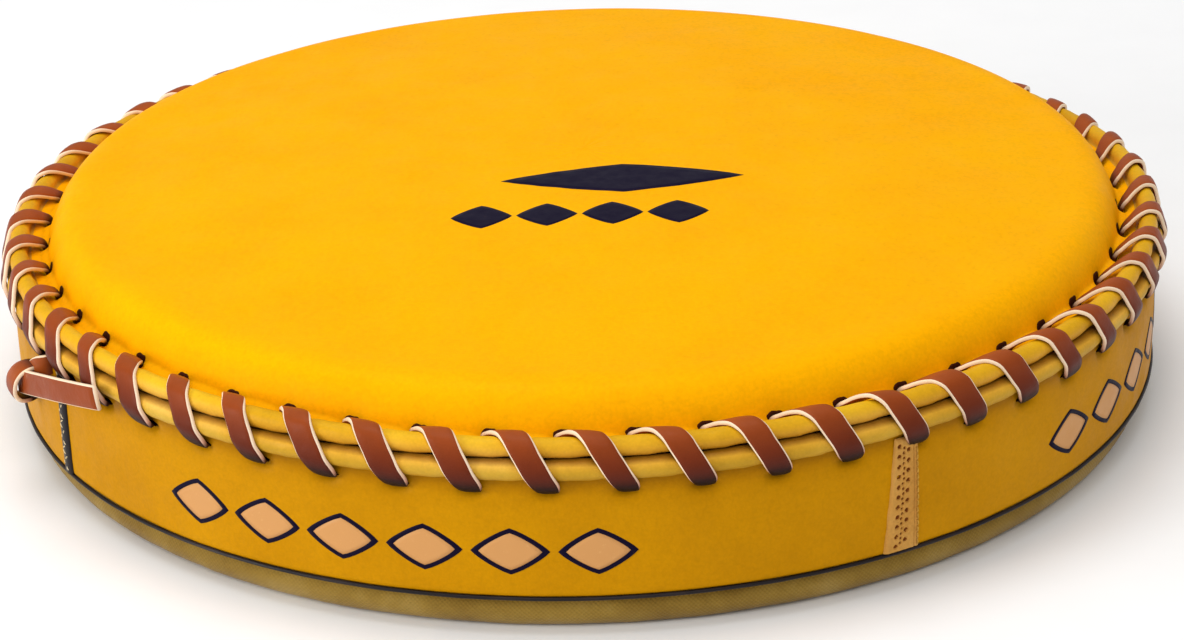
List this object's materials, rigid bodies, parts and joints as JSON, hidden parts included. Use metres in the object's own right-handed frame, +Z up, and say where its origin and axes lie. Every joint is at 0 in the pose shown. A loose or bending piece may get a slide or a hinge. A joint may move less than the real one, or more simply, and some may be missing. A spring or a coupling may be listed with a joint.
{
  "type": "kick shield",
  "caption": "Round strike pad: crowned leather face laced to a leather side band over foam, with a padded base roll and folding grips in a recessed back.",
  "frame": {"origin": "centre of the pad on the plane it rests on", "axes": "+Z up through the struck face; front of the pad towards -Y; the two grips lie along Y at +X and -X"},
  "size_m": [0.4098, 0.4099, 0.0846],
  "materials": {
    "face_leather": "satin",
    "side_leather": "satin",
    "strip_leather": "matte",
    "lace_leather": "satin",
    "grip_leather": "satin",
    "dark_piping": "satin",
    "khaki_cloth": "matte",
    "cord": "matte",
    "foam": "matte",
    "board": "matte",
    "ring_steel": "polished",
    "steel": "satin"
  },
  "bodies": {
    "shield": {"face_panel": "face_leather", "face_rim_cord": "cord", "side_panel_front": "side_leather", "side_panel_right": "side_leather", "side_panel_back": "side_leather", "side_panel_left": "side_leather", "band_rim_cord": "cord", "rim_lace": "lace_leather", "lace_tail": "lace_leather", "seam_piping_left": "dark_piping", "seam_piping_right": "dark_piping", "seam_strip_front": "strip_leather", "seam_strip_back": "strip_leather", "base_piping": "dark_piping", "base_binding": "khaki_cloth", "base_roll_cord": "foam", "back_panel": "khaki_cloth", "stiffener_board": "board", "rear_foam": "foam", "middle_foam": "foam", "soft_foam": "foam", "chape_rivets": "steel", "rivet_washers": "steel", "right_anchor_patch": "grip_leather", "right_top_chape": "grip_leather", "right_bottom_chape": "grip_leather", "left_anchor_patch": "grip_leather", "left_top_chape": "grip_leather", "left_bottom_chape": "grip_leather"},
    "right_rings": {"right_top_ring": "ring_steel", "right_bottom_ring": "ring_steel"},
    "right_grip": {"right_handle_cover": "grip_leather", "right_handle_core": "foam"},
    "left_rings": {"left_top_ring": "ring_steel", "left_bottom_ring": "ring_steel"},
    "left_grip": {"left_handle_cover": "grip_leather", "left_handle_core": "foam"}
  },
  "joints": [
    {"name": "right_ring_swing", "type": "hinge", "parent": "shield", "child": "right_rings", "pos_m": [0.065, 0, 0.0062], "axis": [0, 1, 0], "range_deg": [0, 110]},
    {"name": "right_grip_swing", "type": "hinge", "parent": "right_rings", "child": "right_grip", "pos_m": [0.079, 0, 0.0062], "axis": [0, 1, 0], "range_deg": [0, 50]},
    {"name": "left_ring_swing", "type": "hinge", "parent": "shield", "child": "left_rings", "pos_m": [-0.065, 0, 0.0062], "axis": [0, -1, 0], "range_deg": [0, 110]},
    {"name": "left_grip_swing", "type": "hinge", "parent": "left_rings", "child": "left_grip", "pos_m": [-0.079, 0, 0.0062], "axis": [0, -1, 0], "range_deg": [0, 50]}
  ]
}
